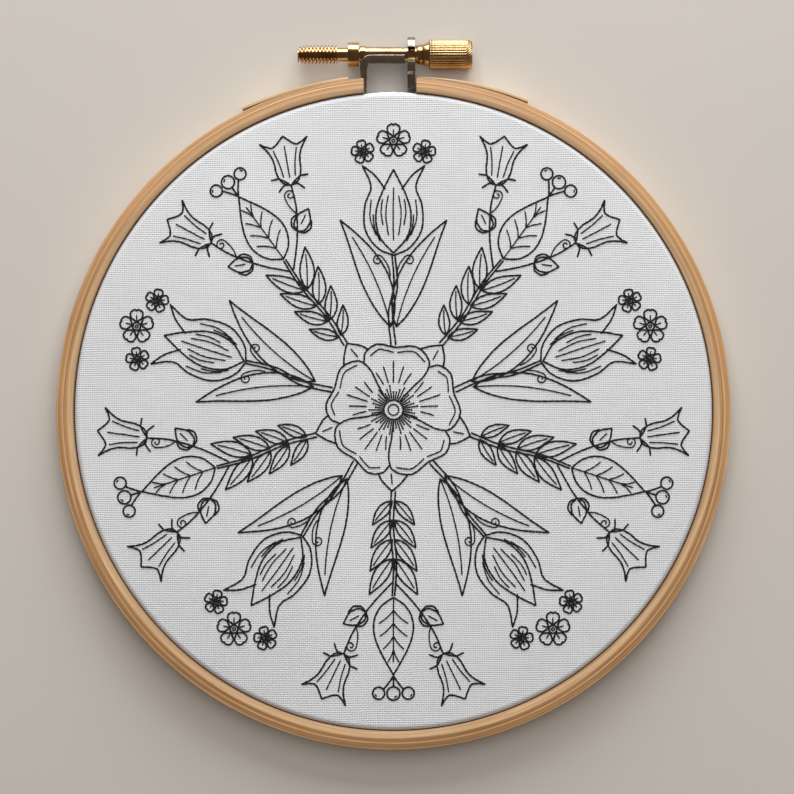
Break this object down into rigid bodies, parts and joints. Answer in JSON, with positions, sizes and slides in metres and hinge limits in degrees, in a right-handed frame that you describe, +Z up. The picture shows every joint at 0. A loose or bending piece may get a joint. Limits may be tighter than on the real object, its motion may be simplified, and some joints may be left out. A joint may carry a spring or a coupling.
{
  "type": "hoop embroidery art with its wooden embroidery hoop",
  "caption": "Cloth with outline embroidery stretched in a split round wooden hoop, gripped by a brass thumbscrew over the split, which also leaves a gap to hang it by.",
  "frame": {"origin": "on the resting plane, under the middle of the object's whole length and width", "axes": "+Z up out of the worked side of the cloth, +Y from the middle of the cloth towards the screw, +X towards the screw's knurled head"},
  "size_m": [0.211, 0.224, 0.01],
  "materials": {
    "wood": "satin bare bentwood with lengthwise grain",
    "inner_wood": "satin bare bentwood with lengthwise grain",
    "cloth": "matt white plain weave",
    "thread": "matt black stranded thread",
    "steel": "dull plated steel",
    "brass": "bright turned brass"
  },
  "bodies": {
    "hoop": {"outer_hoop": "wood", "lap_left_far": "wood", "lap_left_near": "wood", "lap_right": "wood", "inner_hoop": "inner_wood", "cloth": "cloth", "left_bracket": "steel", "right_bracket": "steel", "nut": "brass"},
    "screw": {"thumbscrew": "brass"}
  },
  "joints": [
    {"name": "screw_turn", "type": "hinge", "parent": "hoop", "child": "screw", "pos_m": [0, 0.10643, 0.005], "axis": [1, 0, 0], "continuous": true}
  ]
}
